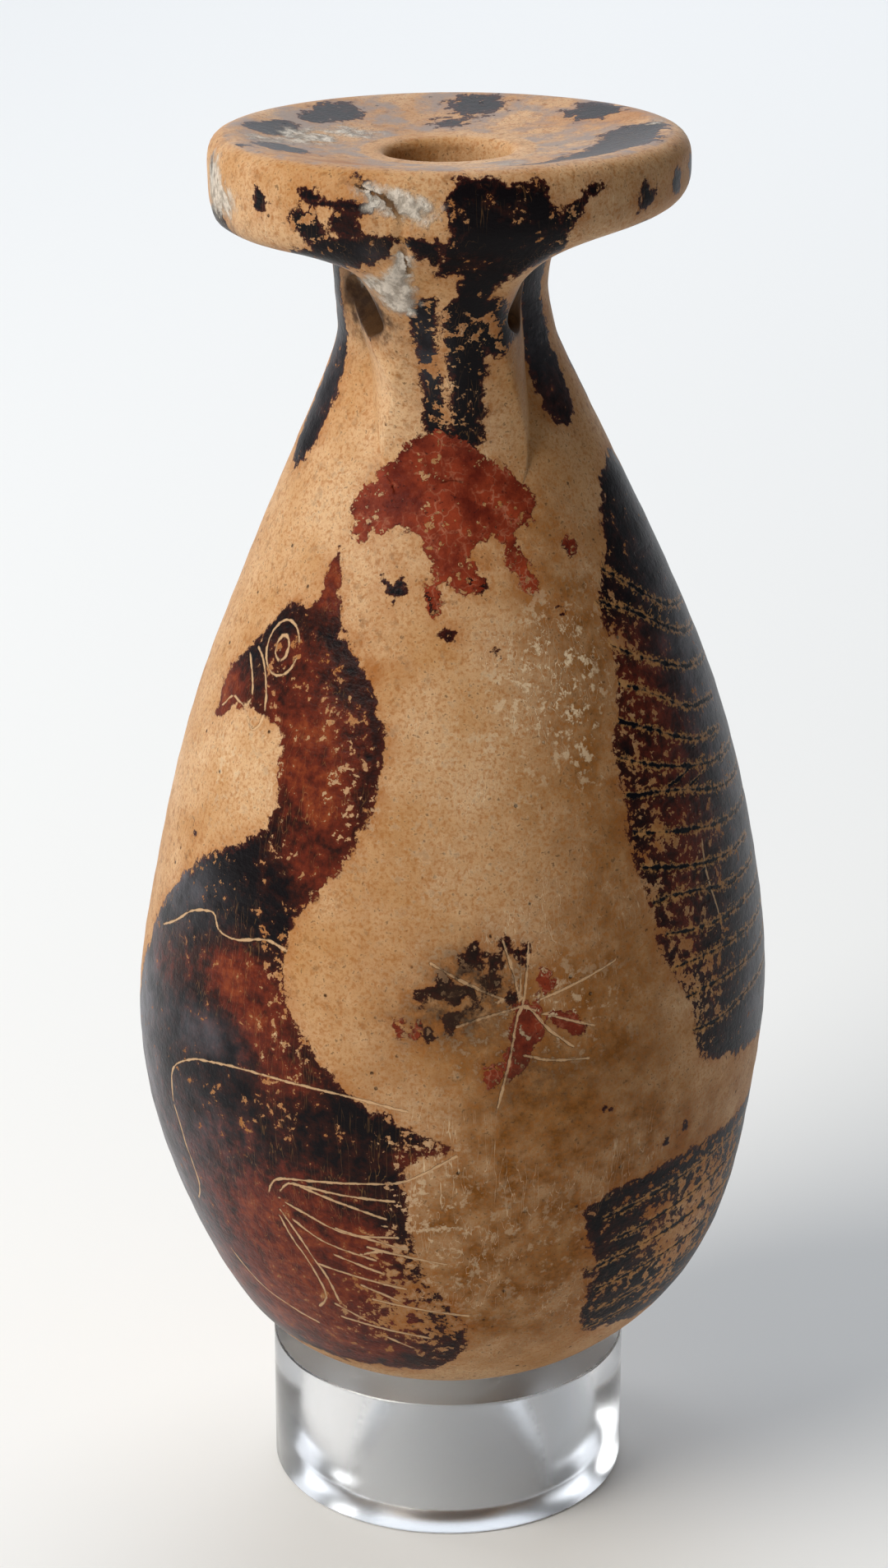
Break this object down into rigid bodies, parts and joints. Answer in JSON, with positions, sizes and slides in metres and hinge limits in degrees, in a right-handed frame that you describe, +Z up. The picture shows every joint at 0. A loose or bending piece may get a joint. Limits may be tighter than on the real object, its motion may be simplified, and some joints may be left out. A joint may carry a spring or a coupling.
{
  "type": "aryballos",
  "caption": "Small pear-shaped painted clay oil flask with a broad disc rim and a pierced lug under it, standing in a clear ring.",
  "frame": {"origin": "centre of the ring stand's underside, on the surface that the part stands on", "axes": "+Z up through the flask's mouth, -Y towards the side with the lug, +X to the right of someone who faces the lug"},
  "size_m": [0.0442, 0.0442, 0.0996],
  "materials": {
    "painted_clay": "fired buff clay with worn dark slip, dull red paint and incised lines",
    "clear_acrylic": "clear, polished on its outside, satin on its cut faces"
  },
  "bodies": {
    "root": {"flask": "painted_clay", "ring_stand": "clear_acrylic"}
  },
  "joints": []
}
